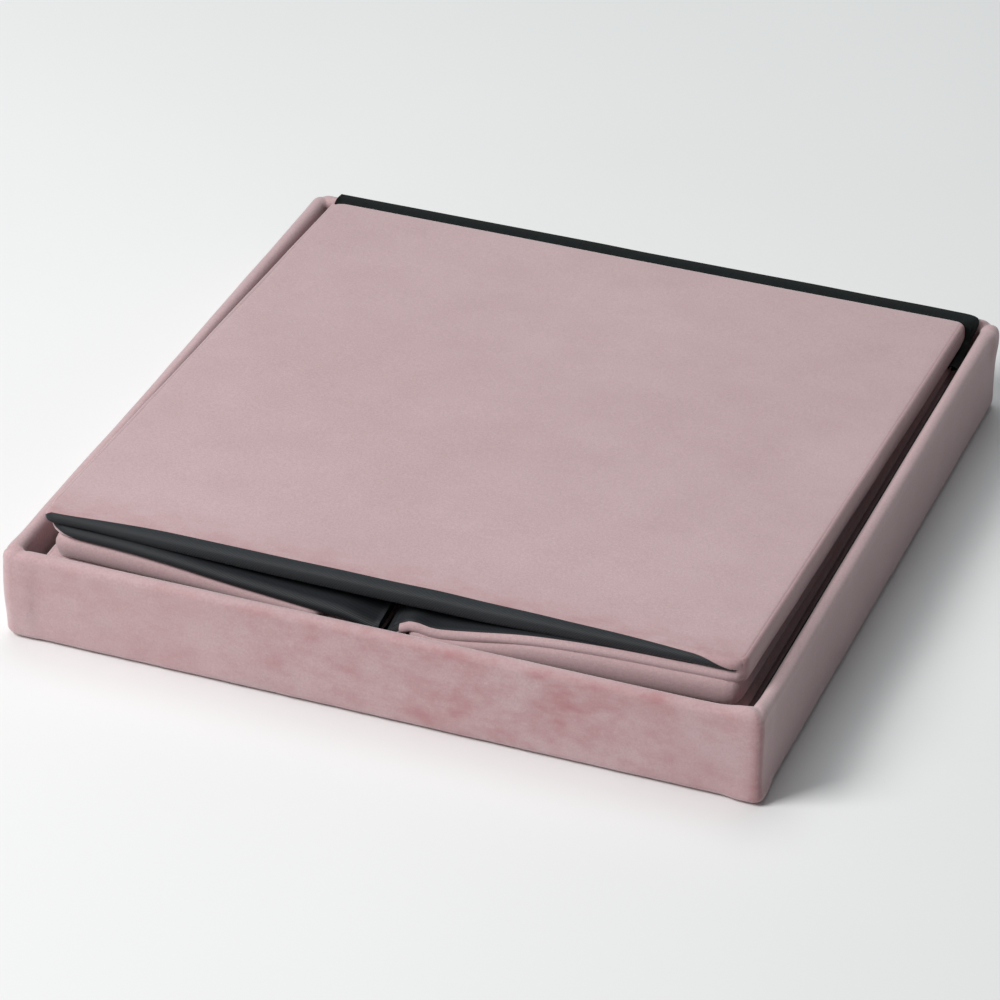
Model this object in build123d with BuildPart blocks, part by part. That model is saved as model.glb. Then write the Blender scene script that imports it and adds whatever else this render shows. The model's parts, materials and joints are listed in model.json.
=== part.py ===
from build123d import *

import os
from math import cos, radians, sin

# A folding storage ottoman, folded flat and lying in its own upturned lid.
#
# The lid lies seat down, so its rim makes a tray. In the tray, from the bottom, are the loose base board,
# the rear wall, the lower and upper halves of the two side walls, and the front wall on top. The side
# walls fold inwards along a crease in the middle. The open end of the walls, at -Y, is sprung a little
# apart, so everything above the creases slopes down towards the bottom end, at +Y.
#
# Millimetres. The origin is the middle of the face that the lid rests on, and +Z is up.

os.makedirs("parts", exist_ok=True)

# Lid
lid_side = 380.0
rim_height = 48.0
rim_thickness = 8.5
lid_corner_radius = 8.0
tray_corner_radius = 3.0
crest_radius = 4.0
seat_edge_radius = 4.0
lid_skin = 1.5  # velvet and its thin wadding, over the rim
seat_skin = 1.2
foam_thickness = 16.8
foam_edge_radius = 3.0
seat_board_thickness = 5.0
rim_board_corner_radius = 5.3
crest_padding = 2.5  # velvet and wadding above the rim boards
lid_lining_thickness = 0.6

# Base board
base_side = 343.0
base_thickness = 3.0
base_skin = 0.5

# Walls
wall_width = 349.0
wall_length = 350.0
wall_far_y = 176.5
velvet_thickness = 0.9
wall_board_thickness = 4.2
wall_lining_thickness = 0.8
velvet_corner_radius = 2.0
velvet_edge_radius = 1.5
spring_angle = 2.0  # how far the open end is sprung apart
crease_gap = 1.0  # between the left and right creases

# Clearance between pieces that move apart
clearance = 0.3

# Bottom cloth
hem_thickness = 0.8
hem_inset = 1.0
cloth_overhang = 12.4
cloth_end_left = -176.0
cloth_end_right = 179.0
cloth_corner_radius = 8.0
cloth_leg_depth = 14.0
cloth_leg_near = 1.5
cloth_leg_far = 4.3
tuck_length = 42.0
tuck_side_clearance = 0.8
cloth_drop = 0.2  # from the front wall's faces to the cloth's
cloth_rim_gap = 1.0  # between the rim's crest and the cloth, at the walls' bottom edge
tuck_drop = 0.6  # from the cloth's upper face to the tucked end's

# Worked out from the sizes above
rim_board_thickness = rim_thickness - 2 * lid_skin
core_side = lid_side - 2 * rim_thickness + 2 * lid_skin
tray_side = lid_side - 2 * rim_thickness
foam_side = lid_side - 2 * lid_skin
foam_top = seat_skin + foam_thickness
seat_board_top = foam_top + seat_board_thickness
tray_floor = seat_board_top + lid_lining_thickness
rim_board_height = rim_height - crest_padding - foam_top
rim_board_middle = core_side / 2 + rim_board_thickness / 2

wall_thickness = velvet_thickness + wall_board_thickness + wall_lining_thickness
base_z = tray_floor + clearance
rear_wall_z = base_z + base_thickness + clearance
lower_half_z = rear_wall_z + wall_thickness + clearance
fold_z = lower_half_z + wall_thickness + clearance / 2
front_wall_height = clearance / 2 + wall_thickness + clearance

# The walls are drawn from their bottom edge, at Y = 0, towards their open end. The flat stack is
# the one below the creases, and the sprung stack is the one above them.
flat_stack = Plane(origin=(0, wall_far_y, 0))
sprung_stack = Plane(
    origin=(0, wall_far_y, fold_z),
    x_dir=(1, 0, 0),
    z_dir=(0, sin(radians(spring_angle)), cos(radians(spring_angle))),
)


def save(piece, name):
    """Names a finished piece and writes it."""
    piece.part.label = name
    export_step(piece.part, f"parts/{name}.step")


def wall_panel(name, stack, height, x_low, x_high, velvet_up):
    """Makes one stiff wall: a velvet tray, the board in it and the lining that closes it."""
    width = x_high - x_low
    middle = ((x_low + x_high) / 2, -wall_length / 2)
    inner_width = width - 2 * velvet_thickness
    inner_length = wall_length - 2 * velvet_thickness
    if velvet_up:
        lining_height = height
        board_height = height + wall_lining_thickness
        pocket_height = height
    else:
        lining_height = height + wall_thickness - wall_lining_thickness
        board_height = height + velvet_thickness
        pocket_height = board_height
    up = Axis(stack.origin, stack.z_dir)

    with BuildPart() as velvet:
        with BuildSketch(stack.offset(height)):
            with Locations(middle):
                Rectangle(width, wall_length)
        extrude(amount=wall_thickness)
        fillet(velvet.edges().filter_by(up), velvet_corner_radius)
        outside = velvet.faces().sort_by(up)[-1 if velvet_up else 0]
        fillet(outside.edges(), velvet_edge_radius)
        with BuildSketch(stack.offset(pocket_height)):
            with Locations(middle):
                Rectangle(inner_width, inner_length)
        extrude(amount=wall_thickness - velvet_thickness, mode=Mode.SUBTRACT)
    save(velvet, f"{name}_velvet")

    with BuildPart() as board:
        with BuildSketch(stack.offset(board_height)):
            with Locations(middle):
                Rectangle(inner_width, inner_length)
        extrude(amount=wall_board_thickness)
    save(board, f"{name}_board")

    with BuildPart() as lining:
        with BuildSketch(stack.offset(lining_height)):
            with Locations(middle):
                Rectangle(inner_width, inner_length)
        extrude(amount=wall_lining_thickness)
    save(lining, f"{name}_lining")


def wall_hem(name, stack, height, x_low, x_high):
    """Makes the strip of bottom cloth that is sewn along a wall's bottom edge."""
    with BuildPart() as hem:
        with BuildSketch(stack.offset(height + hem_inset)):
            with Locations(((x_low + x_high) / 2, hem_thickness / 2)):
                Rectangle(x_high - x_low - 4 * hem_inset, hem_thickness)
        extrude(amount=wall_thickness - 2 * hem_inset)
    save(hem, f"{name}_hem")


# ---- Lid ----

with BuildPart() as seat_foam:
    with BuildSketch(Plane.XY.offset(seat_skin)):
        RectangleRounded(foam_side, foam_side, lid_corner_radius - lid_skin)
    extrude(amount=foam_thickness)
    fillet(seat_foam.edges().group_by(Axis.Z)[0], foam_edge_radius)
save(seat_foam, "seat_foam")

with BuildPart() as seat_board:
    with BuildSketch(Plane.XY.offset(foam_top)):
        Rectangle(core_side, core_side)
    extrude(amount=seat_board_thickness)
save(seat_board, "seat_board")


def long_rim_board(name, side):
    """Makes the front (side -1) or rear (side 1) rim board, which runs the lid's whole width."""
    with BuildPart() as board:
        with BuildSketch(Plane.XY.offset(foam_top)) as outline:
            with Locations((0, side * rim_board_middle)):
                Rectangle(foam_side, rim_board_thickness)
            outer_corners = outline.vertices().sort_by(Axis.Y)
            outer_corners = outer_corners[-2:] if side > 0 else outer_corners[:2]
            fillet(outer_corners, rim_board_corner_radius)
        extrude(amount=rim_board_height)
    save(board, name)
    return board


def short_rim_board(name, side):
    """Makes the left (side -1) or right (side 1) rim board, which fits between the long ones."""
    with BuildPart() as board:
        with BuildSketch(Plane.XY.offset(foam_top)):
            with Locations((side * rim_board_middle, 0)):
                Rectangle(rim_board_thickness, core_side)
        extrude(amount=rim_board_height)
    save(board, name)
    return board


rim_boards = [
    long_rim_board("rim_board_front", -1),
    long_rim_board("rim_board_rear", 1),
    short_rim_board("rim_board_left", -1),
    short_rim_board("rim_board_right", 1),
]

with BuildPart() as lid_shell:
    with BuildSketch():
        RectangleRounded(lid_side, lid_side, lid_corner_radius)
    extrude(amount=rim_height)
    fillet(lid_shell.edges().group_by(Axis.Z)[0], seat_edge_radius)
    with BuildSketch(Plane.XY.offset(seat_board_top)):
        RectangleRounded(tray_side, tray_side, tray_corner_radius)
    extrude(amount=rim_height, mode=Mode.SUBTRACT)
    fillet(lid_shell.faces().sort_by(Axis.Z)[-1].edges(), crest_radius)
    for filling in [seat_foam, seat_board, *rim_boards]:
        add(filling.part, mode=Mode.SUBTRACT)

# The velvet is sewn from a seat panel and a band, with the seam where the seat's edge turns up.
for velvet_name, kept_side in [("seat_velvet", Keep.BOTTOM), ("rim_velvet", Keep.TOP)]:
    with BuildPart() as lid_velvet:
        add(lid_shell.part)
        split(bisect_by=Plane.XY.offset(seat_edge_radius), keep=kept_side)
    save(lid_velvet, velvet_name)

with BuildPart() as lid_lining:
    with BuildSketch(Plane.XY.offset(seat_board_top)):
        RectangleRounded(tray_side, tray_side, tray_corner_radius)
    extrude(amount=lid_lining_thickness)
save(lid_lining, "lid_lining")

# ---- Base board ----

base_middle = (0, wall_far_y - wall_length / 2)

with BuildPart() as base_cover:
    with BuildSketch(Plane.XY.offset(base_z)):
        with Locations(base_middle):
            RectangleRounded(base_side, base_side, velvet_corner_radius)
    extrude(amount=base_thickness)
    with BuildSketch(Plane.XY.offset(base_z)):
        with Locations(base_middle):
            Rectangle(base_side - 2 * base_skin, base_side - 2 * base_skin)
    extrude(amount=base_thickness - base_skin, mode=Mode.SUBTRACT)
save(base_cover, "base_cover")

with BuildPart() as base_board:
    with BuildSketch(Plane.XY.offset(base_z)):
        with Locations(base_middle):
            Rectangle(base_side - 2 * base_skin, base_side - 2 * base_skin)
    extrude(amount=base_thickness - base_skin)
save(base_board, "base_board")

# ---- Walls ----

outer_edge = wall_width / 2
inner_edge = crease_gap / 2

wall_panel("rear_wall", flat_stack, rear_wall_z, -outer_edge, outer_edge, velvet_up=False)
wall_hem("rear_wall", flat_stack, rear_wall_z, -outer_edge, outer_edge)
for side_name, x_low, x_high in [
    ("left", -outer_edge, -inner_edge),
    ("right", inner_edge, outer_edge),
]:
    wall_panel(f"{side_name}_lower", flat_stack, lower_half_z, x_low, x_high, velvet_up=True)
    wall_hem(f"{side_name}_lower", flat_stack, lower_half_z, x_low, x_high)
    wall_panel(f"{side_name}_upper", sprung_stack, clearance / 2, x_low, x_high, velvet_up=False)
    wall_hem(f"{side_name}_upper", sprung_stack, clearance / 2, x_low, x_high)
wall_panel("front_wall", sprung_stack, front_wall_height, -outer_edge, outer_edge, velvet_up=True)

# ---- Bottom cloth, sewn to the front wall's bottom edge and laid over the rear of the rim ----

cloth_top = front_wall_height + wall_thickness - cloth_drop
cloth_underside = rim_height - fold_z + cloth_rim_gap
tuck_underside = front_wall_height + cloth_drop
tuck_top = cloth_top - tuck_drop
tuck_outer_x = tray_side / 2 - tuck_side_clearance
# Looks along X, with the distance behind the walls to the right and the stack's height upwards.
cloth_section = Plane(
    origin=sprung_stack.origin + Vector(cloth_end_left, 0, 0),
    x_dir=sprung_stack.y_dir,
    z_dir=(1, 0, 0),
)

with BuildPart() as bottom_cloth:
    with BuildSketch(cloth_section):
        with BuildLine():
            Polyline(
                (0, cloth_top),
                (cloth_overhang, cloth_top),
                (cloth_overhang, cloth_underside),
                (cloth_leg_far, cloth_underside),
                (cloth_leg_far, cloth_underside - cloth_leg_depth),
                (cloth_leg_near, cloth_underside - cloth_leg_depth),
                (cloth_leg_near, cloth_underside),
                (0, cloth_underside),
                close=True,
            )
        make_face()
    extrude(amount=cloth_end_right - cloth_end_left)
    up = Axis(sprung_stack.origin, sprung_stack.z_dir)
    rear_corner = bottom_cloth.edges().filter_by(up).group_by(Axis.Y)[-1].sort_by(Axis.X)[-1]
    fillet(rear_corner, cloth_corner_radius)
    rear_edge = bottom_cloth.faces().sort_by(up)[-1].edges().group_by(Axis.Y)[-1]
    fillet(rear_edge, velvet_edge_radius)
    with BuildSketch(sprung_stack.offset(tuck_underside)):
        with Locations(((outer_edge + tuck_outer_x) / 2, (cloth_leg_far - tuck_length) / 2)):
            Rectangle(tuck_outer_x - outer_edge, tuck_length + cloth_leg_far)
    extrude(amount=tuck_top - tuck_underside)
save(bottom_cloth, "bottom_cloth")
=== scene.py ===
import json
import math

import bpy
import numpy as np
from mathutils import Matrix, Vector


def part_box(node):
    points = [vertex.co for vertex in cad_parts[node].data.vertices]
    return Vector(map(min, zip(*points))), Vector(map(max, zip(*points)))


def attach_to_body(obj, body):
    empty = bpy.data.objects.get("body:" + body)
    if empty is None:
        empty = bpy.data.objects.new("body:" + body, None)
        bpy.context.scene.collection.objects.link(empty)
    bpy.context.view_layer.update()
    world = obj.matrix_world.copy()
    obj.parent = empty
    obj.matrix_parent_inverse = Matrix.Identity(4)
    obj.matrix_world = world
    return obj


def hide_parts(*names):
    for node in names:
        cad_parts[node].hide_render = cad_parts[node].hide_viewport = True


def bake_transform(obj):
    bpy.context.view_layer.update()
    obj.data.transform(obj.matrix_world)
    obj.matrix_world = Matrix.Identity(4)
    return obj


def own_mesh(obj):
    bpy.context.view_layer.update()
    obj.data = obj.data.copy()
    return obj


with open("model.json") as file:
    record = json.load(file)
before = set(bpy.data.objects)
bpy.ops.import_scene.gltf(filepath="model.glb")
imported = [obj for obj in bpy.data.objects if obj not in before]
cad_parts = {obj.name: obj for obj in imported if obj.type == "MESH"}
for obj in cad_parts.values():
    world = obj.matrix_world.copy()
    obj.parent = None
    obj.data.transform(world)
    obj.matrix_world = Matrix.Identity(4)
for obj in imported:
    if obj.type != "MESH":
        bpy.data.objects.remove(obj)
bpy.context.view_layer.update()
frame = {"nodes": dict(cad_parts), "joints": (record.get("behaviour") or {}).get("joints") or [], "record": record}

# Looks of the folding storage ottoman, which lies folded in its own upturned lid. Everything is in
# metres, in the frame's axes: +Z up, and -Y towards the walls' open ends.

# ---- Sizes, read from the frame ----

JOINTS = {joint["name"]: joint for joint in frame["joints"]}
rear_low, rear_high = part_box("rear_wall_velvet")
lower_low, lower_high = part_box("left_lower_velvet")
rim_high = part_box("rim_velvet")[1]
floor_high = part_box("lid_lining")[1]

WALL = rear_high.z - rear_low.z  # thickness of one folded wall
LENGTH = rear_high.y - rear_low.y  # from the bottom edge to the open end
EDGE = rear_high.x  # from the middle to a folded edge
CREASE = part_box("right_upper_velvet")[0].x  # from the middle to each half of a side wall
CLEARANCE = lower_low.z - rear_high.z  # between two folded walls
TILT = math.atan2(JOINTS["front_left_edge"]["axis"][2], -JOINTS["front_left_edge"]["axis"][1])
LID = rim_high.x  # from the middle to the rim's outer face
TRAY = floor_high.x  # from the middle to the rim's inner face
RIM = LID - TRAY
RIM_TOP = rim_high.z
TRAY_FLOOR = floor_high.z
UPPER_H = CLEARANCE / 2  # heights above the sprung stack's plane
FRONT_H = UPPER_H + WALL + CLEARANCE

# Chosen here: how the cloth lies over the boards.
COVER_EDGE = WALL / 2  # rounding of a cover's edges
BOARD_EDGE = 0.0006  # rounding of a board's edges
BOARD_INSET = 0.0018  # from a wall's edge to its board
BOARD_GAP = 0.0012  # from a wall's face to its board
LINING_INSET = 0.0020  # from a wall's edge to its lining
LINING_THICK = 0.0005
STRIP_THICK = 0.0006  # of the velvet bands and the bottom cloth


# ---- Camera ----

def make_camera():
    """The photograph's view: a long lens, to the right of the front and above it."""
    azimuth, elevation = math.radians(21.41), math.radians(32.5)
    distance, target = 2.265, Vector((0.0033, -0.0354, 0.030))
    look = Vector((-math.sin(azimuth) * math.cos(elevation), math.cos(azimuth) * math.cos(elevation),
                   -math.sin(elevation)))
    camera = bpy.data.objects.new("camera", bpy.data.cameras.new("camera"))
    bpy.context.scene.collection.objects.link(camera)
    camera.data.lens = 167.7
    camera.data.sensor_width = 36.0
    camera.data.clip_start = 0.05
    camera.data.clip_end = 50.0
    camera.location = target - look * distance
    camera.rotation_euler = look.to_track_quat("-Z", "Y").to_euler()
    bpy.context.scene.camera = camera


make_camera()


# ---- Numbers: noise, easing, turning and the two stacks of folded walls ----

class Noise:
    """Smooth seeded noise from -1 to 1, the same at each run."""

    SIDE = 32

    def __init__(self, seed):
        self.table = np.random.default_rng(seed).uniform(-1, 1, (self.SIDE,) * 3)

    def __call__(self, points, size):
        """The noise at points, with features about size across."""
        place = np.asarray(points, float) / size
        cell = np.floor(place).astype(int)
        part = place - cell
        part = part * part * (3 - 2 * part)
        total = np.zeros(place.shape[:-1])
        for corner in np.ndindex(2, 2, 2):
            weight = np.prod(np.where(corner, part, 1 - part), axis=-1)
            index = (cell + np.array(corner)) % self.SIDE
            total += weight * self.table[index[..., 0], index[..., 1], index[..., 2]]
        return total


SOFT = Noise(7)


def ease(value, start, end):
    """0 before start, 1 after end, and smooth between them."""
    t = np.clip((np.asarray(value, float) - start) / (end - start), 0, 1)
    return t * t * (3 - 2 * t)


def hump(value, middle, width):
    """1 at middle, and falling off smoothly over width."""
    return np.exp(-(((np.asarray(value, float) - middle) / width) ** 2))


def turned(points, pivot, axis, angle):
    """points turned about an axis through pivot, each by its own angle."""
    arm = points - pivot
    cos, sin = np.cos(angle)[..., None], np.sin(angle)[..., None]
    along = (arm @ axis)[..., None] * axis
    return pivot + arm * cos + np.cross(axis, arm) * sin + along * (1 - cos)


class Stack:
    """Places points of a folded wall: x across, s from its bottom edge, h above the stack's plane."""

    def __init__(self, z, tilt):
        self.origin = np.array([0, rear_high.y, z])
        self.toward = np.array([0, -math.cos(tilt), math.sin(tilt)])
        self.up = np.array([0, math.sin(tilt), math.cos(tilt)])

    def place(self, x, s, h):
        x, s, h = np.broadcast_arrays(x, s, h)
        across = np.array([1.0, 0, 0])
        return self.origin + x[..., None] * across + s[..., None] * self.toward + h[..., None] * self.up


FLAT = Stack(0, 0)
SPRUNG = Stack(JOINTS["left_crease"]["pos_m"][2], TILT)


# ---- Mesh builders ----

def wear_at(points):
    """Where the velvet's pile is rubbed the wrong way and looks darker and redder, from 0 to 1."""
    x, y, z = points[..., 0], points[..., 1], points[..., 2]
    front_face = ease(-y, LID - 0.006, LID - 0.001)
    rubbed = front_face * (0.38 + 0.62 * hump(x, 0.085, 0.085) + 0.30 * hump(x, -0.03, 0.05))
    crest = ease(-y, LID - 0.009, LID - 0.003) * hump(z, RIM_TOP - 0.002, 0.004)
    crest = crest * (0.25 + 0.75 * hump(x, 0.01, 0.035) + 0.7 * hump(x, 0.14, 0.03))
    corner = front_face * hump(x, LID - 0.003, 0.0040)
    open_end = ease(-y, 0.140, 0.172) * ease(z, 0.058, 0.062)
    lapped = lapped_corner(x, y) * ease(z, RIM_TOP - 0.006, RIM_TOP - 0.002)
    return np.clip(np.maximum.reduce([rubbed, crest, corner, 0.75 * open_end, lapped]), 0, 1)


def painted_shade_at(points):
    """Painted shade, from 0 to 1: darker velvet on the lid's right face, the folded walls' right edges
    and the rim's inner faces, which lie in shade, and a little at the lid's near right corner and the
    top's near edge."""
    x, y, z = points[..., 0], points[..., 1], points[..., 2]
    lid_face = ease(x, LID - 0.003, LID - 0.0008) * ease(RIM_TOP - z, 0.001, 0.007)
    in_tray = (x < EDGE + 0.002) & (abs(y) < TRAY - 0.002)
    wall_edges = ease(x, EDGE - 0.0034, EDGE - 0.0012) * in_tray
    corner = 0.8 * hump(x, LID - 0.0036, 0.0022) * ease(-y, LID - 0.004, LID - 0.001)
    near_edge = 0.35 * ease(-y, 0.156, 0.175) * ease(z, 0.055, 0.060)
    outmost = np.maximum(abs(x), abs(y))
    inner = ease(LID - outmost, RIM - 0.002, RIM - 0.0005) * ease(RIM_TOP - z, 0.001, 0.006)
    inner = inner * (z > TRAY_FLOOR - 0.001) * (outmost > TRAY - 0.001)
    return np.maximum.reduce([lid_face, wall_edges, corner, near_edge, inner])


def add_mesh(name, points, faces, materials, second=None):
    """Makes a smooth mesh object. second marks the faces with the second material."""
    mesh = bpy.data.meshes.new(name)
    mesh.from_pydata([tuple(p) for p in points], [], [tuple(map(int, f)) for f in faces])
    for material in materials:
        mesh.materials.append(material)
    mesh.polygons.foreach_set("use_smooth", [True] * len(mesh.polygons))
    if second is not None:
        mesh.polygons.foreach_set("material_index", np.asarray(second, int))
    # wear marks the velvet's rubbed pile; painted_shade marks where shade is painted into its colour.
    for attribute, value_at in (("wear", wear_at), ("painted_shade", painted_shade_at)):
        values = value_at(np.asarray(points)).astype(np.float32)
        mesh.attributes.new(attribute, "FLOAT", "POINT").data.foreach_set("value", values)
    mesh.update()
    piece = bpy.data.objects.new(name, mesh)
    bpy.context.scene.collection.objects.link(piece)
    return piece


def grid_faces(index):
    """The quads of a grid of point indices, n by m."""
    a, b, c, d = index[:-1, :-1], index[1:, :-1], index[1:, 1:], index[:-1, 1:]
    return np.stack([a, b, c, d], -1).reshape(-1, 4)


def cloth(name, grid, thickness, material, loop=False):
    """Makes a thin closed skin. grid is its outer face, n by m points; loop joins the last row to the
    first."""
    if loop:
        across = np.roll(grid, -1, 0) - np.roll(grid, 1, 0)
    else:
        across = np.gradient(grid, axis=0)
    normal = np.cross(across, np.gradient(grid, axis=1))
    normal /= np.maximum(np.linalg.norm(normal, axis=-1, keepdims=True), 1e-12)
    rows, columns = grid.shape[:2]
    index = np.arange(rows * columns).reshape(rows, columns)
    if loop:
        index = np.vstack([index, index[:1]])
    back = index + rows * columns
    faces = [grid_faces(index), grid_faces(back)[:, ::-1]]
    rims = [(index[:, 0], back[:, 0], 1), (index[:, -1], back[:, -1], -1)]
    if not loop:
        rims += [(index[0], back[0], -1), (index[-1], back[-1], 1)]
    for front, rear, way in rims:
        strip = np.stack([front[:-1], rear[:-1], rear[1:], front[1:]], -1)
        faces.append(strip[:, ::-way])
    points = np.concatenate([grid.reshape(-1, 3), (grid - normal * thickness).reshape(-1, 3)])
    return add_mesh(name, points, np.concatenate(faces), [material])


def stations(low, high, edge, cell):
    """Grid lines from low to high, closer together over the rounded edges."""
    rounding = edge * (1 - np.cos(np.linspace(0, math.pi / 2, 7)))[:-1]
    count = max(2, round((high - low - 2 * edge) / cell))
    middle = np.linspace(low + edge, high - edge, count + 1)
    return np.concatenate([low + rounding, middle, high - rounding[::-1]])


def rounded_plan(x, s, x_span, s_span, edge, corners):
    """Moves a grid's points so that the panel's corners are round. Also gives how far inside the
    outline each point is."""
    x_middle, s_middle = sum(x_span) / 2, sum(s_span) / 2
    inset_x = (x_span[1] - x_span[0]) / 2 - abs(x - x_middle)
    inset_s = (s_span[1] - s_span[0]) / 2 - abs(s - s_middle)
    radius = np.maximum(np.array(corners)[(x > x_middle).astype(int) + 2 * (s > s_middle)], edge)
    away_x, away_s = radius - inset_x, radius - inset_s
    in_corner = (away_x > 0) & (away_s > 0)
    furthest = np.maximum(away_x, away_s)
    shrink = np.where(in_corner, furthest / np.maximum(np.hypot(away_x, away_s), 1e-12), 1) - 1
    x = x + np.where(in_corner, np.sign(x - x_middle) * away_x * shrink, 0)
    s = s + np.where(in_corner, np.sign(s - s_middle) * away_s * shrink, 0)
    return x, s, np.where(in_corner, radius - furthest, np.minimum(inset_x, inset_s))


def panel_indices(rows, columns):
    """Point indices of a panel's upper and lower faces, which share the points of their outline."""
    above = np.arange(rows * columns).reshape(rows, columns)
    below = above.copy()
    below[1:-1, 1:-1] = rows * columns + np.arange((rows - 2) * (columns - 2)).reshape(rows - 2, -1)
    return above, below


def slab(name, stack, x_span, s_span, bottom, top, materials, corners=(0.004,) * 4, edge=COVER_EDGE,
         cell=0.005, relief=0.00025, relief_size=0.05, push=None, shape=None, dark=None):
    """Makes a closed panel with rounded edges between two heights, which are numbers or functions of
    x and s. corners are the plan radii: bottom end left and right, then open end left and right.
    relief is how uneven the faces are, as one number or as upper and lower. push moves points along s,
    shape moves finished points, and dark picks faces of the second material from x, how far inside the
    outline they are and whether they face up."""
    x, s = np.meshgrid(stations(*x_span, edge, cell), stations(*s_span, edge, cell), indexing="ij")
    x, s, inset = rounded_plan(x, s, x_span, s_span, edge, corners)
    low = bottom(x, s) if callable(bottom) else np.full_like(x, bottom)
    high = top(x, s) if callable(top) else np.full_like(x, top)
    share = np.sqrt(np.clip(1 - (1 - np.clip(inset / edge, 0, 1)) ** 2, 0, 1))
    middle, half = (high + low) / 2, (high - low) / 2 * share
    moved_s = s + push(x, s) if push else s
    upper, lower = stack.place(x, moved_s, middle + half), stack.place(x, moved_s, middle - half)
    for number, face in enumerate((upper, lower)):
        uneven = np.broadcast_to(relief, 2)[number] * share * SOFT(face + number, relief_size)
        face += uneven[..., None] * stack.up
    points = np.concatenate([upper.reshape(-1, 3), lower[1:-1, 1:-1].reshape(-1, 3)])
    if shape:
        points = shape(points)
    # x and s are a left-handed pair, so the upper faces are the ones turned over.
    above, below = panel_indices(*x.shape)
    faces = np.concatenate([grid_faces(above)[:, ::-1], grid_faces(below)])
    second = None
    if dark:
        centre_x, centre_inset = ((value[:-1, :-1] + value[1:, 1:]) / 2 for value in (x, inset))
        second = np.concatenate([dark(centre_x, centre_inset, up).reshape(-1) for up in (True, False)])
    return add_mesh(name, points, faces, materials, second)


def rounded_loop(half, radii, straight, arc):
    """Points and outward directions round a square, from the right side's near end. radii are those of
    its far right, far left, near left and near right corners. straight is the number of points along
    each side, and arc the number round each corner."""
    points, normals = [], []
    for quarter in range(4):
        turn = quarter * math.pi / 2
        out = np.array([math.cos(turn), math.sin(turn)])
        along = np.array([-math.sin(turn), math.cos(turn)])
        radius, last = radii[quarter], radii[quarter - 1]
        for t in np.linspace(last - half, half - radius, straight, endpoint=False):
            points.append(out * half + along * t)
            normals.append(out)
        for t in np.linspace(0, math.pi / 2, arc, endpoint=False):
            way = out * math.cos(t) + along * math.sin(t)
            points.append((out + along) * (half - radius) + way * radius)
            normals.append(way)
    return np.array(points), np.array(normals)


# ---- Materials ----

class Nodes:
    """A new material whose shader's inputs are filled from short node calls."""

    def __init__(self, name):
        self.material = bpy.data.materials.new(name)
        self.material.use_nodes = True
        self.tree = self.material.node_tree
        self.shader = self.tree.nodes["Principled BSDF"]
        self.place = self.add("ShaderNodeTexCoord").outputs["Object"]

    def add(self, kind, links=(), **settings):
        node = self.tree.nodes.new(kind)
        for name, value in settings.items():
            setattr(node, name, value)
        for key, value in dict(links).items():
            if isinstance(value, bpy.types.NodeSocket):
                self.tree.links.new(value, node.inputs[key])
            else:
                node.inputs[key].default_value = value
        return node

    def stretched(self, scale, turn=(0, 0, 0)):
        """The object coordinates, scaled and turned."""
        links = {"Vector": self.place, "Scale": scale, "Rotation": turn}
        return self.add("ShaderNodeMapping", links).outputs["Vector"]

    def noise(self, scale, detail=2.0, rough=0.5, vector=None):
        links = {"Vector": vector or self.place, "Scale": scale, "Detail": detail, "Roughness": rough}
        return self.add("ShaderNodeTexNoise", links).outputs["Fac"]

    def ramp(self, value, stops):
        """A colour ramp through stops, which are (place, colour) pairs."""
        node = self.add("ShaderNodeValToRGB", {"Fac": value})
        elements = node.color_ramp.elements
        elements[0].position, elements[0].color = stops[0][0], (*stops[0][1], 1)
        elements[1].position, elements[1].color = stops[-1][0], (*stops[-1][1], 1)
        for place, colour in stops[1:-1]:
            elements.new(place).color = (*colour, 1)
        return node.outputs["Color"]

    def grey(self, value, low, high, dark, light):
        """A grey ramp from dark at low to light at high."""
        return self.ramp(value, [(low, (dark,) * 3), (high, (light,) * 3)])

    def mix(self, factor, first, second, blend="MIX"):
        """A colour mix, whose colours are sockets or triples."""
        node = self.add("ShaderNodeMix", data_type="RGBA", blend_type=blend)
        for key, value in (("Factor_Float", factor), ("A_Color", first), ("B_Color", second)):
            socket = next(i for i in node.inputs if i.identifier == key)
            if isinstance(value, bpy.types.NodeSocket):
                self.tree.links.new(value, socket)
            else:
                socket.default_value = value if key == "Factor_Float" else (*value, 1)
        return next(o for o in node.outputs if o.identifier == "Result_Color")

    def times(self, first, second):
        return self.mix(1.0, first, second, "MULTIPLY")

    def product(self, first, second):
        return self.add("ShaderNodeMath", {0: first, 1: second}, operation="MULTIPLY").outputs[0]

    def bump(self, height, distance, strength=1.0, under=None):
        links = {"Height": height, "Distance": distance, "Strength": strength}
        if under:
            links["Normal"] = under
        return self.add("ShaderNodeBump", links).outputs["Normal"]

    def finish(self, colour, roughness, normal=None, **settings):
        """Links the shader, and sets its plain numbers and colours on its own sockets."""
        pairs = {"Base Color": colour, "Roughness": roughness}
        if normal:
            pairs["Normal"] = normal
        pairs.update({key.replace("_", " "): value for key, value in settings.items()})
        for key, value in pairs.items():
            if isinstance(value, bpy.types.NodeSocket):
                self.tree.links.new(value, self.shader.inputs[key])
            else:
                self.shader.inputs[key].default_value = value
        return self.material


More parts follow.
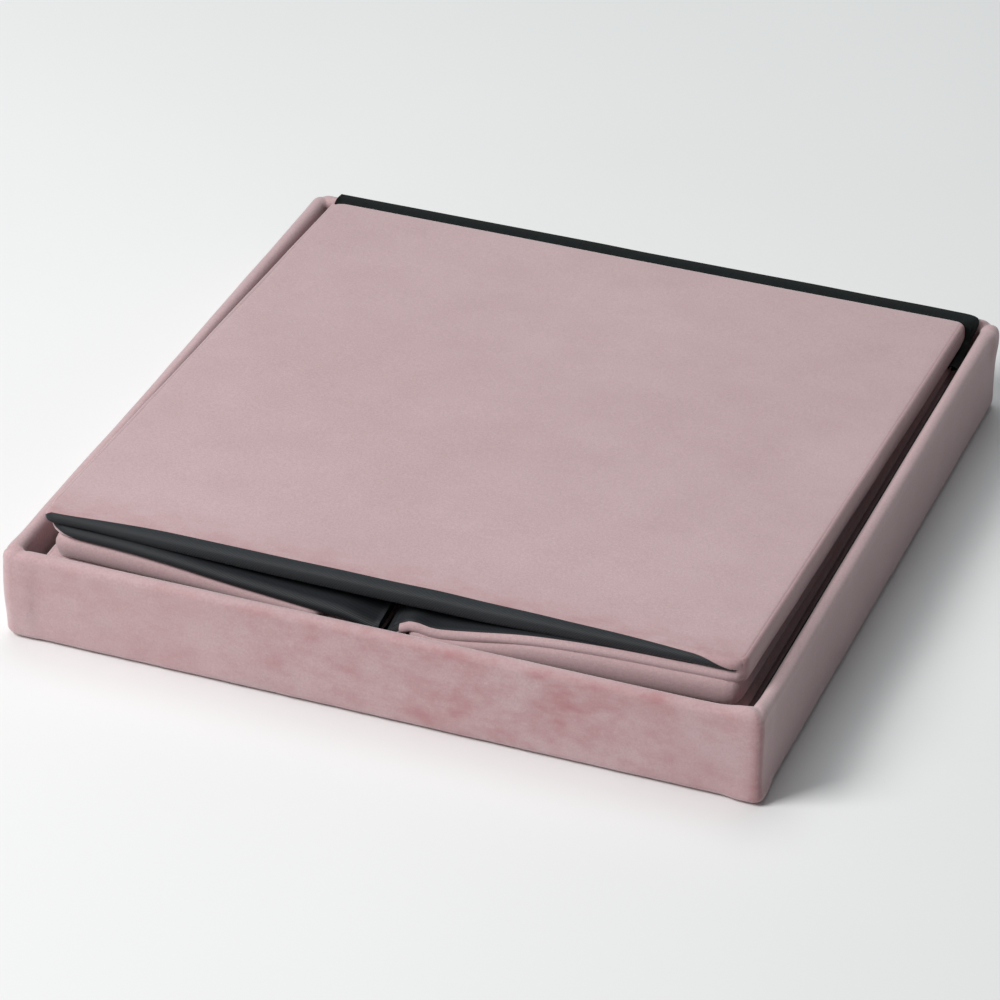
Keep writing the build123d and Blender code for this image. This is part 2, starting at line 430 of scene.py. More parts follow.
def velvet():
    """Dusty pink short-pile velvet: faint brushed patches, a fine nap, redder rubbed pile, and painted shade."""
    n = Nodes("pink_velvet")
    patches = n.noise(11, 4, 0.6)
    brushed = n.noise(45, 4, 0.65, n.stretched((0.8, 1.0, 1.3), (0.3, 0.2, 0.5)))
    grain = n.noise(850, 3, 0.75)
    base = n.ramp(patches, [(0.30, (0.545, 0.382, 0.392)), (0.70, (0.585, 0.420, 0.432))])
    colour = n.times(base, n.ramp(brushed, [(0.30, (0.960, 0.945, 0.945)), (0.62, (1, 1, 1))]))
    colour = n.times(colour, n.grey(grain, 0.25, 0.75, 0.86, 1.10))
    wear = n.add("ShaderNodeAttribute", attribute_name="wear").outputs["Fac"]
    smears = n.grey(n.noise(40, 3, 0.55, n.stretched((0.75, 1.0, 1.0))), 0.38, 0.74, 0, 1)
    flecks = n.grey(n.noise(150, 3, 0.6, n.stretched((0.6, 1.0, 1.0))), 0.42, 0.72, 0, 1)
    rubbed = n.mix(0.45, smears, flecks)
    colour = n.mix(n.product(wear, rubbed), colour, (0.430, 0.190, 0.200))
    # Painted shade: the velvet is made darker where the painted_shade attribute is set.
    painted_shade = n.add("ShaderNodeAttribute", attribute_name="painted_shade").outputs["Fac"]
    colour = n.mix(painted_shade, colour, n.times(colour, (0.79, 0.71, 0.71)))
    crushed = n.bump(brushed, 0.0009, 0.16, n.bump(grain, 0.00035, 0.5))
    return n.finish(colour, 0.88, crushed, Sheen_Weight=0.75, Sheen_Roughness=0.45,
                    Sheen_Tint=(0.98, 0.95, 0.96, 1), Specular_IOR_Level=0.12)


def lining():
    """Charcoal lining cloth with fine diagonal twill ribs."""
    n = Nodes("dark_lining")
    slant = n.stretched((1, 1, 1), (0, math.radians(137), math.radians(-35)))
    links = {"Vector": slant, "Scale": 400.0, "Distortion": 0.25, "Detail": 1.0, "Detail Scale": 3.0}
    ribs = n.add("ShaderNodeTexWave", links, wave_type="BANDS", bands_direction="X").outputs["Fac"]
    threads = n.noise(1500, 2, 0.6)
    wear = n.noise(30, 3, 0.6)
    colour = n.ramp(ribs, [(0.1, (0.008, 0.0100, 0.0125)), (0.9, (0.028, 0.0325, 0.038))])
    colour = n.times(colour, n.grey(wear, 0.3, 0.7, 0.88, 1.12))
    colour = n.times(colour, n.grey(threads, 0.3, 0.7, 0.85, 1.12))
    weave = n.bump(ribs, 0.00016, 0.8, n.bump(threads, 0.00008, 0.4))
    return n.finish(colour, 0.55, weave, Sheen_Weight=0.06, Sheen_Roughness=0.4,
                    Specular_IOR_Level=0.35)


def nonwoven():
    """Matte black spun-bonded cloth, with its rows of tiny heat bonds."""
    n = Nodes("black_nonwoven")
    links = {"Vector": n.stretched((1, 1, 1), (0, 0, math.radians(45))), "Scale": 620.0,
             "Randomness": 0.15}
    bonds = n.add("ShaderNodeTexVoronoi", links, distance="CHEBYCHEV").outputs["Distance"]
    fibres = n.noise(700, 4, 0.7, n.stretched((1, 0.3, 1)))
    colour = n.ramp(fibres, [(0.3, (0.0055, 0.0075, 0.0075)), (0.7, (0.0110, 0.0140, 0.0140))])
    colour = n.times(colour, n.grey(bonds, 0.1, 0.45, 0.75, 1.0))
    relief = n.bump(bonds, 0.0001, 0.4, n.bump(fibres, 0.0001, 0.3))
    return n.finish(colour, 0.8, relief, Sheen_Weight=0.06, Sheen_Roughness=0.5,
                    Specular_IOR_Level=0.12)


def fibreboard():
    """Raw brown fibreboard: pressed fibres and darker flecks."""
    n = Nodes("fibreboard")
    fibres = n.noise(420, 6, 0.7, n.stretched((1, 0.35, 1)))
    clouds = n.noise(14, 4, 0.5)
    colour = n.ramp(fibres, [(0.3, (0.16, 0.094, 0.050)), (0.7, (0.31, 0.205, 0.120))])
    colour = n.times(colour, n.grey(clouds, 0.3, 0.7, 0.86, 1.07))
    return n.finish(colour, 0.85, n.bump(fibres, 0.0002, 0.5), Specular_IOR_Level=0.25)


def foam():
    """Cream open-cell foam with its pores."""
    n = Nodes("foam")
    pores = n.add("ShaderNodeTexVoronoi", {"Vector": n.place, "Scale": 700.0}).outputs["Distance"]
    colour = n.ramp(pores, [(0.05, (0.50, 0.44, 0.28)), (0.5, (0.74, 0.69, 0.52))])
    colour = n.times(colour, n.grey(n.noise(20, 4, 0.5), 0.3, 0.7, 0.93, 1.03))
    return n.finish(colour, 0.95, n.bump(pores, 0.0005, 0.7), Specular_IOR_Level=0.2)


MATERIALS = {
    "pink_velvet": velvet(),
    "dark_lining": lining(),
    "black_nonwoven": nonwoven(),
    "fibreboard": fibreboard(),
    "foam": foam(),
}
VELVET, LINING, BLACK, BOARD = (
    MATERIALS[slot] for slot in ("pink_velvet", "dark_lining", "black_nonwoven", "fibreboard"))


def keep_cad_nodes():
    """Gives each CAD node the material of its slot."""
    for row in frame["record"]["subparts"]:
        node = frame["nodes"][row["node"]]
        node.data.materials.clear()
        node.data.materials.append(MATERIALS[row["material_slot"]])


def attach(piece, body, slot, *nodes):
    """A piece rides on a body and stands for CAD nodes, which it hides. slot is not used."""
    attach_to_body(piece, body)
    return finished(piece, slot, *nodes)


def finished(piece, slot, *nodes):
    if nodes:
        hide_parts(*nodes)
    return piece


keep_cad_nodes()


# ---- Lid ----

OUTER_RADII = (0.0085, 0.0080, 0.0060, 0.0038)  # far right, far left, near left, near right
INNER_R = 0.0032  # the tray's corners
FOLD_R = 0.0045  # the seat's lower edge
UNDERSIDE = 0.012  # how far the band goes under the seat
RIM_THICK, SEAT_THICK = 0.0012, 0.0011  # of the lid's velvet


def rim_section():
    """The velvet band's path over the rim: (distance in from the outer face, height) pairs."""
    crest = RIM / 2
    under = [(d, 0.0002) for d in np.linspace(UNDERSIDE, FOLD_R + 0.001, 4)]
    turn = np.linspace(0, math.pi / 2, 8)
    edge = [(FOLD_R - FOLD_R * math.sin(t), 0.0002 + FOLD_R * (1 - math.cos(t))) for t in turn]
    outer = [(0, z) for z in np.linspace(FOLD_R + 0.003, RIM_TOP - crest - 0.002, 13)]
    turn = np.linspace(0, math.pi, 17)
    over = [(crest - crest * math.cos(t), RIM_TOP - crest + crest * math.sin(t)) for t in turn]
    inner = [(RIM, z) for z in np.linspace(RIM_TOP - crest - 0.003, TRAY_FLOOR, 6)]
    return np.array(under + edge + outer + over + inner)


def lapped_corner(x, y):
    """The line at the near left corner where the front's velvet laps over the side's, from 0 to 1."""
    return hump(y, -LID + 0.0068, 0.0009) * ease(-x, LID - 0.0105, LID - 0.0085)


def at_corner(x, y, side_x, side_y):
    """Which points are on these sides of the middle."""
    return (np.sign(x) == side_x) & (np.sign(y) == side_y)


def corner_folds(x, y, z):
    """How deep the creases in the rim's corners are, and how far its corners bulge out."""
    reach = 0.016
    away_x, away_y = abs(x) - (LID - reach), abs(y) - (LID - reach)
    angle = np.arctan2(away_y, away_x) - math.pi / 4
    near = ease(np.minimum(away_x, away_y), -0.004, 0.004) * ease(np.hypot(away_x, away_y), 0.004, 0.012)
    crest = ease(z, RIM_TOP - 0.014, RIM_TOP - 0.003)
    folds = [  # side in x and y, angle from the diagonal, depth
        (-1, -1, 0.30, 0.0008), (1, -1, -0.10, 0.0007), (1, 1, 0.12, 0.0019), (1, 1, -0.34, 0.0009),
        (-1, 1, 0.05, 0.0006),
    ]
    deep = np.zeros_like(x)
    for side_x, side_y, offset, depth in folds:
        deep += at_corner(x, y, side_x, side_y) * near * crest * depth * hump(angle, offset, 0.12)
    deep += lapped_corner(x, y) * crest * 0.0014
    bulges = [  # side in x and y, size, height of its middle, reach up and down
        (-1, -1, 0.0014, 0.025, 0.020), (1, 1, 0.0012, RIM_TOP - 0.007, 0.009),
        (1, -1, 0.0004, RIM_TOP - 0.009, 0.008), (-1, 1, 0.0003, RIM_TOP - 0.009, 0.008),
    ]
    out = np.zeros_like(x)
    for side_x, side_y, size, middle, spread in bulges:
        out += at_corner(x, y, side_x, side_y) * near * size * hump(z, middle, spread)
    out += (x > 0) * (y < 0) * near * 0.0012 * hump(z, 0.002, 0.004)
    return deep, out


def lid_rim():
    """The velvet band round the lid, from under the seat's edge to the tray's floor, with the folds
    at its corners."""
    grid = []
    section = rim_section()
    for inward, z in section:
        radii = [np.interp(inward, (0, RIM), (radius, INNER_R)) for radius in OUTER_RADII]
        plan, normal = rounded_loop(LID - inward, radii, 150, 14)
        grid.append(np.column_stack([plan, np.full(len(plan), z)]))
    grid = np.array(grid).transpose(1, 0, 2)
    outward = np.column_stack([normal, np.zeros(len(normal))])[:, None, :]
    x, y, z = grid[..., 0], grid[..., 1], grid[..., 2]
    deep, out = corner_folds(x, y, z)
    crest = ease(z, RIM_TOP - 0.012, RIM_TOP - 0.003)
    free = ease(z, 0.001, 0.010)
    wave = free * (0.00045 * SOFT(grid, 0.055) + 0.00016 * SOFT(grid, 0.018))
    tucks = 0.00022 * SOFT(grid, 0.007) * hump(z, 0.004, 0.004)
    uneven = (wave + tucks + out - 0.0006) * (1 - ease(section[:, 0], 0.4 * RIM, 0.95 * RIM))
    moved = grid + outward * uneven[..., None]
    # The velvet stands up a little, gathered over the near right corner.
    gathered = 0.0024 * hump(np.hypot(x - LID + 0.008, y + LID - 0.006), 0, 0.010)
    moved[..., 2] += (0.7 * wave + gathered) * crest - deep
    lowest = 0.00005
    moved[..., 2] = np.maximum(moved[..., 2], lowest)
    band = cloth("lid_rim_band", moved, RIM_THICK, VELVET, loop=True)
    return attach(band, "lid", "pink_velvet", "rim_velvet")


def lid_seat():
    """The seat's velvet panel, on which the lid rests: flat in the middle, with its sewn edge drawn
    up a little."""
    insets = [UNDERSIDE - 0.002, UNDERSIDE - 0.001, UNDERSIDE + 0.0015, UNDERSIDE + 0.006]
    insets += list(np.linspace(0.03, LID - 0.002, 14))
    heights = [0.0016, 0.0007, 0.0001] + [0.0] * (len(insets) - 3)
    grid = []
    for inset, z in zip(insets, heights):
        half = LID - inset
        plan, _ = rounded_loop(half, [min(0.004, half * 0.9)] * 4, 60, 8)
        grid.append(np.column_stack([plan, np.full(len(plan), z)]))
    grid = np.array(grid).transpose(1, 0, 2)[::-1]
    panel = cloth("lid_seat_panel", grid, SEAT_THICK, VELVET, loop=True)
    attach(panel, "lid", "pink_velvet", "seat_velvet")


def lid_floor():
    """The lining cloth on the tray's floor, a little loose between its glued edges."""
    half = TRAY - 0.0003
    x, y = np.meshgrid(np.linspace(-half, half, 74), np.linspace(-half, half, 74), indexing="ij")
    inset = half - np.maximum(abs(x), abs(y))
    flat = np.stack([x, y, np.full_like(x, TRAY_FLOOR)], -1)
    flat[..., 2] += 0.00018 * ease(inset, 0, 0.02) * (SOFT(flat, 0.035) - 0.6)
    sheet = cloth("lid_floor_cloth", flat, LINING_THICK, LINING)
    attach(sheet, "lid", "dark_lining", "lid_lining")


lid_rim()
lid_seat()
lid_floor()


# ---- Base board ----

def base_board():
    """The loose base board, and its black cover wrapped round it with rounded edges."""
    low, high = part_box("base_cover")
    far, near = rear_high.y - high.y, rear_high.y - low.y
    cover = slab("base_board_cover", FLAT, (low.x, high.x), (far, near), low.z, high.z, [BLACK],
                 corners=(0.005,) * 4, edge=0.0015, cell=0.009, relief=0.0001)
    attach(cover, "base", "black_nonwoven", "base_cover", "base_board")


base_board()


# ---- Bends and sags of the side walls' upper halves at the open end ----

SAG_FROM = 0.23  # the open end's slack shape starts this far from the bottom edge


class OpenEndBend:
    """An upper side wall bends down at its open end, by a small part of the way from the front wall.
    start and along are (distance in from the folded edge, distance from the bottom edge)."""

    def __init__(self, side, start, along, reach):
        name = "front_right_edge" if side > 0 else "front_left_edge"
        self.pivot = np.array(JOINTS[name]["pos_m"])
        self.axis = np.array(JOINTS[name]["axis"], float)
        self.angle = side * math.radians(JOINTS[name]["range_deg"][1])
        self.start = SPRUNG.place(side * (EDGE - start[0]), start[1], 0)
        inward, toward = np.array(along) / math.hypot(*along)
        step = np.array([-side * inward, 0, 0]) + toward * SPRUNG.toward
        self.end = self.start + reach * step

    def __call__(self, points):
        """points, bent as they lie at rest."""
        path = self.end - self.start
        share = ease((points - self.start) @ path / (path @ path), 0, 1)
        return turned(points, self.pivot, self.axis, share * self.angle)

    def blend(self, piece, body):
        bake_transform(piece)


LEFT_BEND = OpenEndBend(-1, start=(0, 0.235), along=(0, 1), reach=1.05)
RIGHT_BEND = OpenEndBend(1, start=(0.020, 0.350), along=(0.624, 0.781), reach=0.710)


def left_sag(x, s):
    """The left upper half's slack, on top of its bend: it dips into the crease."""
    raised = 0.0015 * hump(x, -0.125, 0.035) * ease(s, SAG_FROM, 0.345)
    return 0.0034 * hump(x, 0, 0.012) * ease(s, 0.30, 0.345) - raised


def right_sag(x, s):
    """The same for the right, with a small nose by the crease."""
    across = 0.0013 * hump(x, 0.040, 0.022) - 0.0034 * hump(x, 0.014, 0.008) + 0.0020 * hump(x, 0, 0.004)
    return (across - 0.0003 * ease(x, 0.140, 0.160)) * ease(s, 0.30, 0.345)


def forward(x, s):
    """How far the open end of a side wall leans out towards the rim, most at its crease."""
    inward = EDGE - abs(x)
    return 0.0040 * np.clip(inward / 0.150, 0, 1) ** 1.2 * ease(s, 0.315, LENGTH)


# ---- Walls ----

LEFT, RIGHT = (-EDGE, -CREASE), (CREASE, EDGE)
TIP_R = 0.014  # the left upper half's corner at the open end


def lined(x_span, velvet_up):
    """Picks a cover's faces that are lining cloth: its lining side, and all that turns in at the
    crease."""
    has_crease = x_span[0] * x_span[1] >= 0

    def dark(x, inset, up):
        lining_side = up != velvet_up
        at_crease = abs(x) < CREASE + (0.008 if lining_side else 0.0007)
        return (at_crease & has_crease) | ((inset > LINING_INSET) & lining_side)
    return dark


def wall_lining(name, stack, x_span, h, up, corners, sag=None, bend=None):
    """A lining sheet, sewn just inside the wall's edges. Where the wall bends, it does too."""
    cell = 0.005
    ends = (x_span[0] + LINING_INSET, x_span[1] - LINING_INSET)
    length_ends = (LINING_INSET, LENGTH - LINING_INSET)
    x = np.linspace(*ends, max(8, round((ends[1] - ends[0]) / cell)))
    s = np.linspace(*length_ends, round(LENGTH / cell))
    x, s = np.meshgrid(x, s, indexing="ij")
    inner_corners = [corner - LINING_INSET for corner in corners]
    x, s, inset = rounded_plan(x, s, ends, length_ends, LINING_THICK, inner_corners)
    proud, drawn_in = 0.00011, 0.00017  # off the cover's face, and how far its sewn edges go into it
    height = h + (1 if up else -1) * (proud - drawn_in * (1 - ease(inset, 0, 0.003)))
    grid = stack.place(x, s + forward(x, s) * bool(bend), height - (sag(x, s) if sag else 0))
    grid = grid + (0.00005 * SOFT(grid, 0.03) * ease(inset, 0, 0.01))[..., None] * stack.up
    if bend:
        grid = bend(grid)
    sheet = cloth(name, grid[:, ::-1] if up else grid, LINING_THICK, LINING)
    return sheet


def wall(body, stack, x_span, h, velvet_up, corners, sag=None, bend=None):
    """A wall: its board, its velvet cover and its lining. An upper half sags and bends."""
    def lowered(height):
        return (lambda x, s: height - sag(x, s)) if sag else height

    push = forward if bend else None
    inner = [x_span[0] + BOARD_INSET, x_span[1] - BOARD_INSET]
    panel = slab(f"{body}_panel", stack, inner, (BOARD_INSET, LENGTH - BOARD_INSET),
                 lowered(h + BOARD_GAP), lowered(h + WALL - BOARD_GAP), [BOARD], corners=corners,
                 edge=BOARD_EDGE, cell=0.006, relief=0, push=push, shape=bend)
    cover = slab(f"{body}_cover", stack, x_span, (0, LENGTH), lowered(h), lowered(h + WALL),
                 [VELVET, LINING], corners=corners, relief=(0.0002, 0) if velvet_up else (0, 0.0002),
                 push=push, shape=bend, dark=lined(x_span, velvet_up))
    lining_h = h if velvet_up else h + WALL
    sheet = wall_lining(f"{body}_lining_cloth", stack, x_span, lining_h, not velvet_up, corners, sag,
                        bend)
    for piece, slot, node in ((panel, "fibreboard", "board"), (cover, "pink_velvet", "velvet"),
                              (sheet, "dark_lining", "lining")):
        if bend:
            bend.blend(piece, body)
        else:
            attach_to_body(piece, body)
        finished(piece, slot, f"{body}_{node}")


def hem(body):
    """The strip of bottom cloth along a wall's bottom edge."""
    low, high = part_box(f"{body}_hem")
    stack = SPRUNG if "upper" in body else FLAT
    h = low.z - stack.origin[2]
    proud, rounding, below_top = 0.0008, 0.0004, 0.002
    strip = slab(f"{body}_hem_cloth", stack, (low.x, high.x), (-proud, rounding), h, h + WALL - below_top,
                 [BLACK], corners=(rounding,) * 4, edge=rounding, cell=0.006, relief=0.0)
    attach(strip, body, "black_nonwoven", f"{body}_hem")


wall("rear_wall", FLAT, (-EDGE, EDGE), rear_low.z, False, (0.004,) * 4)
wall("left_lower", FLAT, LEFT, lower_low.z, True, (0.004, 0.002, 0.004, 0.002))
wall("right_lower", FLAT, RIGHT, lower_low.z, True, (0.002, 0.004, 0.002, 0.004))
wall("left_upper", SPRUNG, LEFT, UPPER_H, False, (0.004, 0.002, TIP_R, 0.002), left_sag, LEFT_BEND)
wall("right_upper", SPRUNG, RIGHT, UPPER_H, False, (0.002, 0.004, 0.003, 0.007), right_sag, RIGHT_BEND)
for body in ("rear_wall", "left_lower", "left_upper", "right_upper", "right_lower"):
    hem(body)


# ---- Front wall, on top of the stack ----

FRONT_CORNERS = (0.007, 0.0045, 0.005, 0.008)  # far left, far right, near left, near right
FRONT_MIDDLE = FRONT_H + WALL / 2
EDGE_LINE = LENGTH - COVER_EDGE  # where the open edges' rounding starts


def seam_turn(x):
    """Where the lining's seam lies on the rounded open edge, as an angle up from its middle. Past a
    right angle it lies on the flat of the panel. It comes down at both ends, which closes the opening."""
    left = 0.10 + 0.90 * ease(x, -0.1745, -0.170) + 1.20 * ease(x, -0.172, -0.110)
    right = 2.20 - 0.62 * ease(x, 0.02, 0.125) - 0.95 * ease(x, 0.100, 0.178)
    right = right - 1.70 * ease(x, 0.150, 0.176)
    return np.minimum(left, right)


def corner_recess(x, side, radius):
    """How far an open edge draws back from its straight line at its rounded corner on one side."""
    over = np.clip(side * x - (EDGE - radius), 0, radius)
    return radius - np.sqrt(radius**2 - over**2)


def front_wall():
    """The front wall's board and velvet cover."""
    inner = (-EDGE + BOARD_INSET, EDGE - BOARD_INSET)
    panel = slab("front_wall_panel", SPRUNG, inner, (BOARD_INSET, LENGTH - BOARD_INSET),
                 FRONT_H + BOARD_GAP, FRONT_H + WALL - BOARD_GAP, [BOARD], corners=FRONT_CORNERS,
                 edge=BOARD_EDGE, cell=0.010, relief=0)
    attach(panel, "front_wall", "fibreboard", "front_wall_board")
    cover = slab("front_wall_cover", SPRUNG, (-EDGE, EDGE), (0, LENGTH), FRONT_H, FRONT_H + WALL,
                 [VELVET], corners=FRONT_CORNERS, cell=0.0036, relief=0.0004, relief_size=0.07)
    attach(cover, "front_wall", "pink_velvet", "front_wall_velvet")


def front_lining():
    """The front wall's lining, which is loose at the open end and turns up round it to the seam."""
    left, right = -EDGE + 0.0008, EDGE - 0.0053
    radius = COVER_EDGE + 0.0003
    x = stations(left, right, 0.012, 0.0035)[:, None]
    span = np.clip(1 - (x / 0.150) ** 2, 0, 1)
    loose = 0.0032 * span
    recess = corner_recess(x, -1, FRONT_CORNERS[2]) + corner_recess(x, 1, FRONT_CORNERS[3])

    # The flat part, under the wall.
    flat = np.linspace(0.004, EDGE_LINE, 70)[None, :]
    flat_h = FRONT_MIDDLE - radius - loose * ease(flat, 0.29, EDGE_LINE)
    flat_s = np.minimum(np.broadcast_to(flat, flat_h.shape), EDGE_LINE - recess)

    # The part that turns up round the open edge, and past it over the flat of the panel.
    turn = -math.pi / 2 + (seam_turn(x) + math.pi / 2) * np.linspace(0, 1, 20)[None, 1:]
    past = radius * np.maximum(turn - math.pi / 2, 0)
    turn = np.minimum(turn, math.pi / 2)
    below = np.clip(-np.sin(turn), 0, 1)
    turned_s = EDGE_LINE + (radius + 0.10 * loose) * np.cos(turn) - recess - past
    turned_h = FRONT_MIDDLE + radius * np.sin(turn) - loose * below

    s = np.concatenate([flat_s, turned_s], 1)
    h = np.concatenate([flat_h, turned_h], 1)
    grid = SPRUNG.place(x, s, h)
    grid = grid + (0.0003 * span * SOFT(grid, 0.025) * ease(s, 0.28, 0.34))[..., None] * SPRUNG.up
    sheet = cloth("front_wall_lining_cloth", grid, LINING_THICK, LINING)
    attach(sheet, "front_wall", "dark_lining", "front_wall_lining")


TURNED_FROM = 0.30  # the turned linings start this far from the bottom edge


def turned_lining(name, body, bend, sag, x_ends, last_turn):
    """Lining that turns down over a side wall's open edge. last_turn gives where it stops, as an
    angle up from the edge's middle."""
    x = np.linspace(*x_ends, 60)[:, None]
    turn = math.pi / 2 + (last_turn(x) - math.pi / 2) * np.linspace(0, 1, 18)[None, :]
    middle, radius = UPPER_H + WALL / 2, COVER_EDGE + 0.00035
    back = np.linspace(TURNED_FROM, EDGE_LINE, 12)[:-1]
    back = np.broadcast_to(back, (len(x), len(back)))
    s = np.concatenate([back, EDGE_LINE + radius * np.cos(turn)], 1) - corner_recess(x, -1, TIP_R)
    h = np.concatenate([np.full(back.shape, middle + radius), middle + radius * np.sin(turn)], 1)
    x = np.broadcast_to(x, s.shape)
    grid = SPRUNG.place(x, s + forward(x, np.minimum(s, LENGTH)), h - sag(x, s))
    uneven = 0.0003 * SOFT(grid, 0.02) * ease(s, TURNED_FROM, 0.33)
    grid = bend(grid + uneven[..., None] * SPRUNG.up)
    sheet = cloth(name, grid[:, ::-1], LINING_THICK, LINING)
    bend.blend(sheet, body)
    finished(sheet, "dark_lining")


front_wall()
front_lining()
turned_lining("left_upper_turned_lining", "left_upper", LEFT_BEND, left_sag,
              (-EDGE + 0.0030, -CREASE - 0.0003), lambda x: 0.3 - 1.55 * ease(x, -0.171, -0.145))
turned_lining("right_upper_turned_lining", "right_upper", RIGHT_BEND, right_sag,
              (CREASE + 0.004, 0.150), lambda x: 1.15 + 0 * x)


# ---- Folds of slack velvet in the side walls' pockets at the open end ----

POCKET_Z = lower_high.z + 0.0001  # the folds' undersides
POCKET_FROM = 0.15  # the folds start this far from the bottom edge


def pocket_fold(name, body, bend, sag, x_span, past, overlap):
    """A soft fold of velvet that fills the pocket under an upper half, up to its underside. It ends
    just past the upper half's open edge, and there it stands overlap higher, so it laps over that
    edge."""
    def top(x, s):
        under = bend(SPRUNG.place(x, s, UPPER_H - sag(x, s)))[..., 2]
        full = 0.1 + 0.9 * ease(s, POCKET_FROM, 0.335)
        room = np.clip(under - 0.0003 - POCKET_Z, 0.0006, None) * full
        return POCKET_Z + room + overlap * ease(s, 0.338, 0.346)

    piece = slab(name, FLAT, x_span, (POCKET_FROM, LENGTH + past), POCKET_Z, top, [VELVET],
                 corners=(0.004, 0.004, 0.007, 0.007), edge=0.0036, cell=0.004, relief=0.0004,
                 relief_size=0.025, push=forward)
    attach(piece, body, "pink_velvet")
    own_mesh(piece)


pocket_fold("left_pocket_fold", "left_lower", LEFT_BEND, left_sag, (-EDGE + 0.004, -0.030), past=0.0002,
            overlap=0.0004)
pocket_fold("right_pocket_fold", "right_lower", RIGHT_BEND, right_sag, (0.012, EDGE - 0.001), past=0.0010,
            overlap=0.0018)


# ---- Velvet that goes round the folded edges ----

def folded_edge(corner, corner_turn):
    """A folded edge from above: distances from the middle and from the bottom edge, and the way out in
    both. It goes along the edge and some way round the corner at the open end."""
    reach = EDGE - corner
    plan = [(reach + corner, s, 1.0, 0.0) for s in np.linspace(0.004, LENGTH - corner, 90)[:-1]]
    for t in np.linspace(0, corner_turn, 9):
        plan.append((reach + corner * math.cos(t), LENGTH - corner * (1 - math.sin(t)),
                     math.cos(t), math.sin(t)))
    return np.array(plan)[:, None, :]


def edge_band(name, stack, side, lower, upper, pivot, corner, corner_turn):
    """A band of velvet round two folded edges, from the height lower to the height upper. At the open
    end it goes some way round the corner."""
    plan = folded_edge(corner, corner_turn)
    limit = math.radians(86)
    lower_turn = np.linspace(-limit, 0, 9)
    between = np.linspace(lower + COVER_EDGE, upper - COVER_EDGE, 7)[1:-1]
    turn = np.concatenate([lower_turn, between * 0, -lower_turn[::-1]])
    centre = np.concatenate([lower_turn * 0 + lower + COVER_EDGE, between,
                             lower_turn * 0 + upper - COVER_EDGE])

    # Proud of the covers between the two edges, and under their surface along the band's own edges.
    proud = 0.00045 - 0.0012 * ease(abs(turn), 0.85, limit)
    proud = proud + 0.0004 * hump(centre, (lower + upper) / 2, 0.004)
    sunk = 0.0017 * ease(np.arctan2(plan[..., 3], plan[..., 2]), corner_turn * 0.35, corner_turn)
    out = (COVER_EDGE + proud) * np.cos(turn) - COVER_EDGE - sunk
    h = centre + (COVER_EDGE + proud) * np.sin(turn)
    x = side * (plan[..., 0] + plan[..., 2] * out)
    s = plan[..., 1] + plan[..., 3] * out
    grid = stack.place(x, s, np.broadcast_to(h, x.shape))
    grid = grid + (0.0002 * SOFT(grid, 0.02))[..., None] * np.array([side, 0, 0])
    band = cloth(name, grid[::-1] if side > 0 else grid, STRIP_THICK, VELVET)
    half_blend = 0.0012
    start = stack.place(0, 0, pivot - half_blend)
    end = stack.place(0, 0, pivot + half_blend)
    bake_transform(band)
    finished(band, "pink_velvet")


edge_band("left_front_edge_band", SPRUNG, -1, UPPER_H, FRONT_H + WALL,
          FRONT_H - CLEARANCE / 2, TIP_R, math.radians(40))
edge_band("right_front_edge_band", SPRUNG, 1, UPPER_H, FRONT_H + WALL,
          FRONT_H - CLEARANCE / 2, FRONT_CORNERS[3], math.radians(55))
edge_band("left_rear_edge_band", FLAT, -1, rear_low.z, lower_high.z,
          rear_high.z + CLEARANCE / 2, 0.004, math.radians(60))


# ---- Bottom cloth ----

def bottom_edge(x_start, corner, far_end):
    """The stack's outline along its bottom edge and round the far right corner, as x, the distance
    from the bottom edge, and the way out in both."""
    path = [(x, 0.0, 0.0, -1.0) for x in np.linspace(x_start, EDGE - corner, 80)[:-1]]
    for t in np.linspace(0, math.pi / 2, 14):
        path.append((EDGE - corner + corner * math.sin(t), corner * (1 - math.cos(t)),
                     math.sin(t), -math.cos(t)))
    path += [(EDGE, s, 1.0, 0.0) for s in np.linspace(corner, far_end, 16)[1:]]
    return np.array(path)[:, None, :]


def strip_section(width, roll, sunk):
    """Across the strip: out from under the panel's rounded edge, over, round a roll and back under.
    Gives the distances out and down from the panel's top edge."""
    turn = np.linspace(0, math.pi * 0.92, 8)[None, :]
    share = np.array([-0.08, 0.06, 0.20, 0.42, 0.62, 0.80])[None, :]
    lift = np.array([-0.0022, -0.0013, -0.0009, -0.0007, -0.0008, -0.0010])[None, :]
    roll_h = -0.0010 - roll
    out = [share * width, width - roll + roll * np.sin(turn), (width - roll) * np.array([[0.85, 0.5, 0.3]])]
    drop = [lift - sunk, roll_h + roll * np.cos(turn) - sunk,
            roll_h - roll - np.array([[0.0001, 0.0002, 0.0003]]) - sunk]
    return np.concatenate(out, 1), np.concatenate(drop, 1)


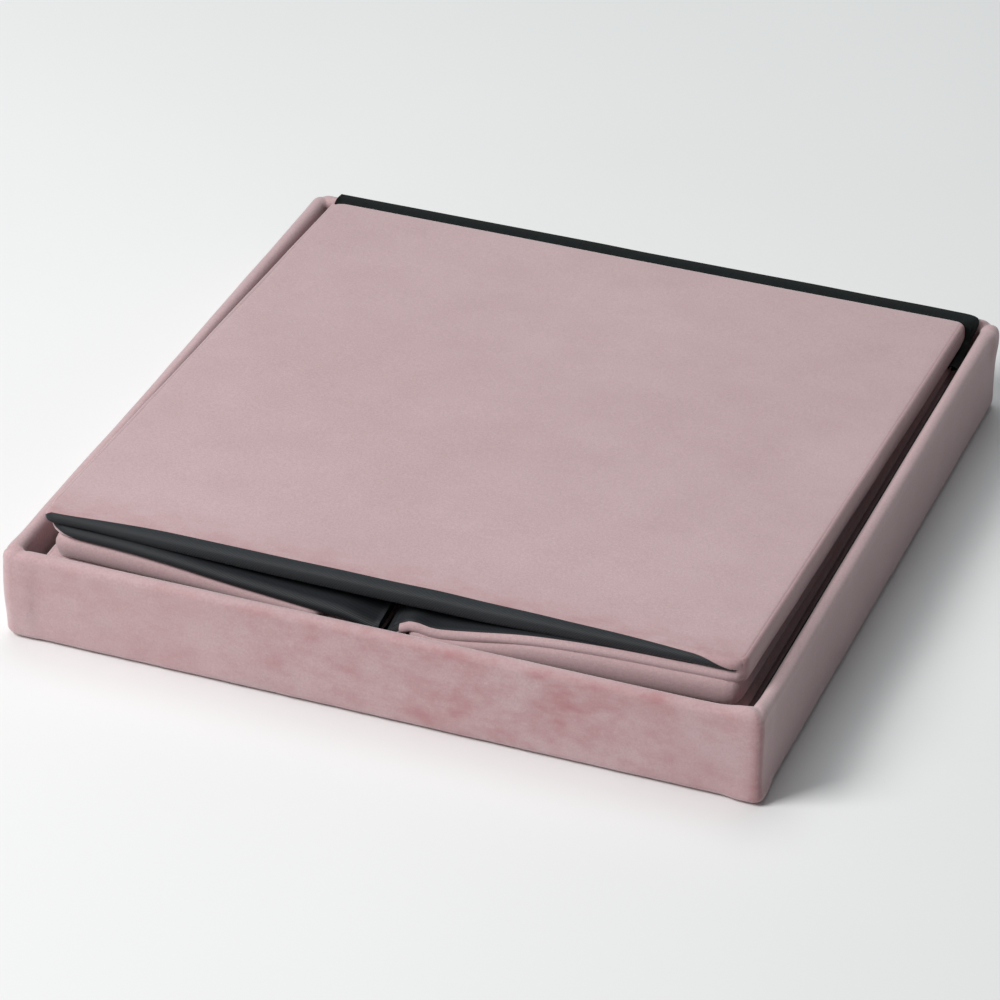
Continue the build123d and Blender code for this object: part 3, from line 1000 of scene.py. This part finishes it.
def bottom_cloth():
    """The cloth that closes the bottom edges, folded double. It lies over the rear of the rim, goes
    round the right corner and ends tucked in beside the stack."""
    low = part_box("bottom_cloth")[0]
    corner = FRONT_CORNERS[1]
    far_end = rear_high.y - low.y - 0.014
    path = bottom_edge(low.x + 0.002, corner, far_end)

    # Round the corner the strip narrows and goes down into the gap.
    turn = np.arctan2(path[..., 2], -path[..., 3])
    width = 0.0094 - 0.0058 * ease(turn, math.radians(30), math.radians(82))
    width = width + 0.0010 * hump(turn, math.radians(34), math.radians(20))
    sunk = 0.0085 * ease(turn, math.radians(36), math.radians(96))
    sunk = sunk + 0.0032 * ease(path[..., 1], corner, corner + 0.012)
    roll = 0.0013 - 0.0009 * ease(path[..., 1], far_end - 0.010, far_end)
    out, drop = strip_section(width, roll, sunk)

    x = path[..., 0] + path[..., 2] * out
    s = path[..., 1] + path[..., 3] * out
    grid = SPRUNG.place(x, s, FRONT_H + WALL + drop)
    grid = grid + (0.00025 * SOFT(grid, 0.03))[..., None] * SPRUNG.up
    sheet = cloth("bottom_cloth_strip", grid[::-1], STRIP_THICK, BLACK)
    attach(sheet, "front_wall", "black_nonwoven", "bottom_cloth")


bottom_cloth()


# ---- Floor, light and colour ----

def studio_floor():
    """A plain pale floor, just below the lid."""
    mesh = bpy.data.meshes.new("floor")
    side = 6.0
    mesh.from_pydata([(-side, -side, 0), (side, -side, 0), (side, side, 0), (-side, side, 0)], [],
                     [(0, 1, 2, 3)])
    floor = bpy.data.objects.new("floor", mesh)
    bpy.context.scene.collection.objects.link(floor)
    floor.location.z = -0.0001
    n = Nodes("studio_floor")
    colour = n.grey(n.noise(3, 2, 0.5), 0.3, 0.7, 0.84, 0.86)
    mesh.materials.append(n.finish(colour, 0.9, Specular_IOR_Level=0.1))


def studio_light():
    """A large soft light from the front left, a weaker one overhead, and a dim sky."""
    lights = [  # name, place, size, power, colour
        ("key", (-1.40, -1.34, 2.0), 1.2, 67.0, (1.0, 0.985, 0.98)),
        ("top", (-0.5, 0.9, 2.8), 2.0, 28.0, (0.93, 1.0, 1.0)),
    ]
    for name, place, size, power, colour in lights:
        data = bpy.data.lights.new(name, "AREA")
        data.size, data.energy, data.color = size, power, colour
        light = bpy.data.objects.new(name, data)
        bpy.context.scene.collection.objects.link(light)
        light.location = place
        light.rotation_euler = (-Vector(place)).to_track_quat("-Z", "Y").to_euler()
    world = bpy.data.worlds.new("studio")
    bpy.context.scene.world = world
    world.use_nodes = True
    background = world.node_tree.nodes["Background"]
    background.inputs["Color"].default_value = (0.94, 0.97, 1.0, 1)
    background.inputs["Strength"].default_value = 0.14
    bpy.context.scene.view_settings.view_transform = "Standard"


studio_floor()
studio_light()
